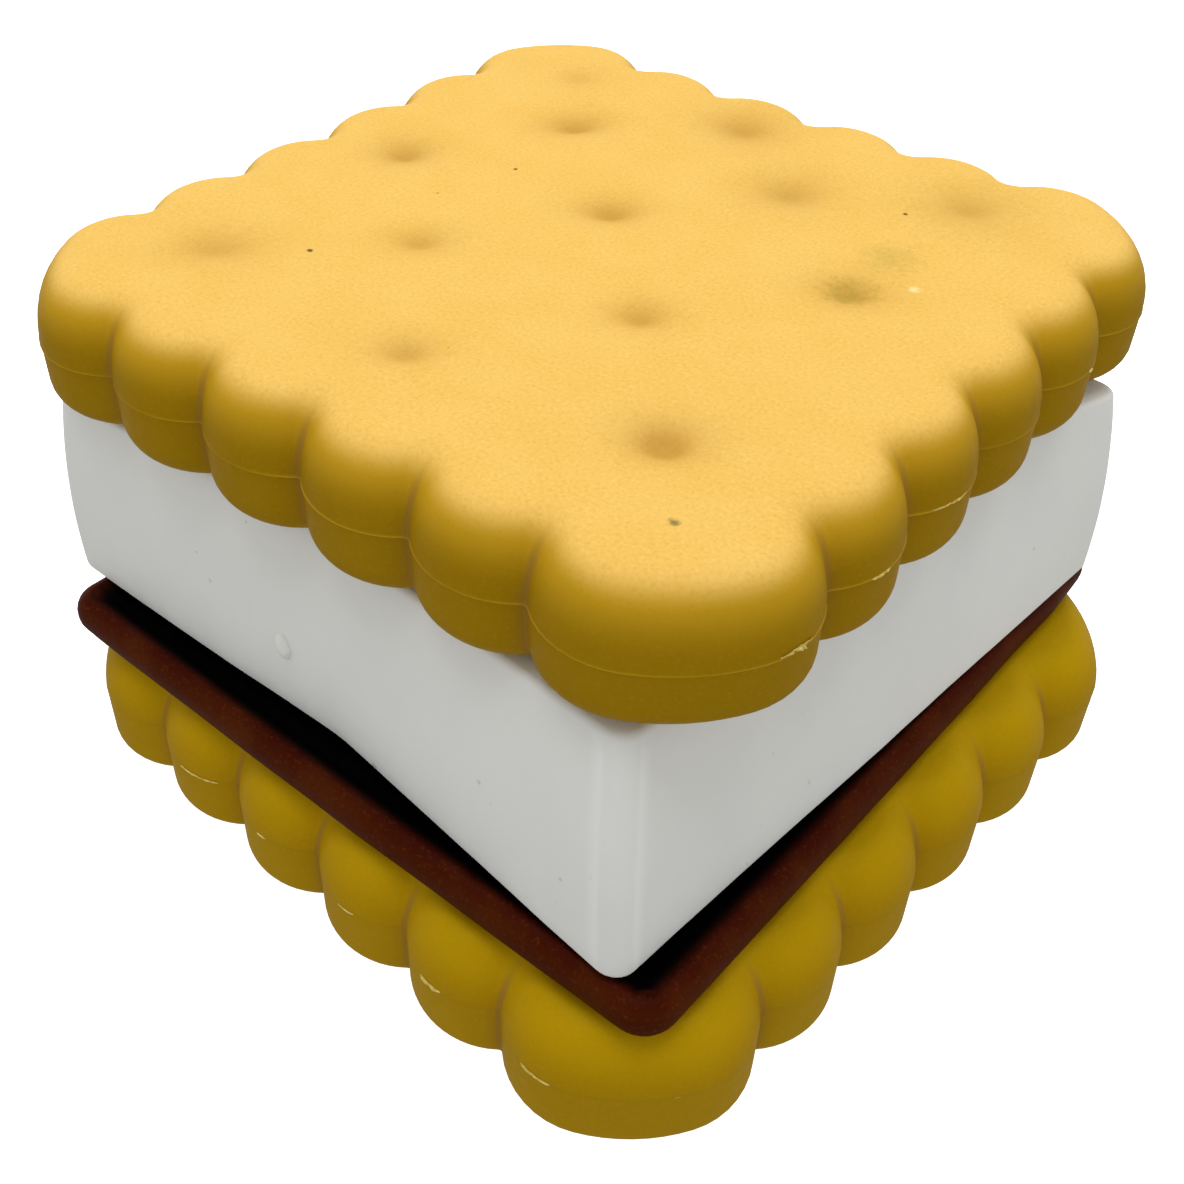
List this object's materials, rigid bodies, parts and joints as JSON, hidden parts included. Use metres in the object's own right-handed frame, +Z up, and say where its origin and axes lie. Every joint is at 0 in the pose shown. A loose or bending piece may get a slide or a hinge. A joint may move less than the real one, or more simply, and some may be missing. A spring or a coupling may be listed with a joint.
{
  "type": "toy s'more",
  "caption": "Moulded toy s'more: scalloped square crackers over and under a marshmallow block and a chocolate slab.",
  "frame": {"origin": "under the middle of the stack's bounding box, on the surface that it stands on", "axes": "+Z up through the layers; the upper cracker's sides run along X and Y"},
  "size_m": [0.084, 0.0832, 0.049],
  "materials": {
    "biscuit": "matt soft moulded rubber in biscuit yellow",
    "marshmallow": "matt soft moulded rubber, cool white",
    "chocolate": "satin moulded rubber, red brown"
  },
  "bodies": {
    "root": {"cracker_top": "biscuit", "marshmallow": "marshmallow", "chocolate": "chocolate", "cracker_bottom": "biscuit"}
  },
  "joints": []
}
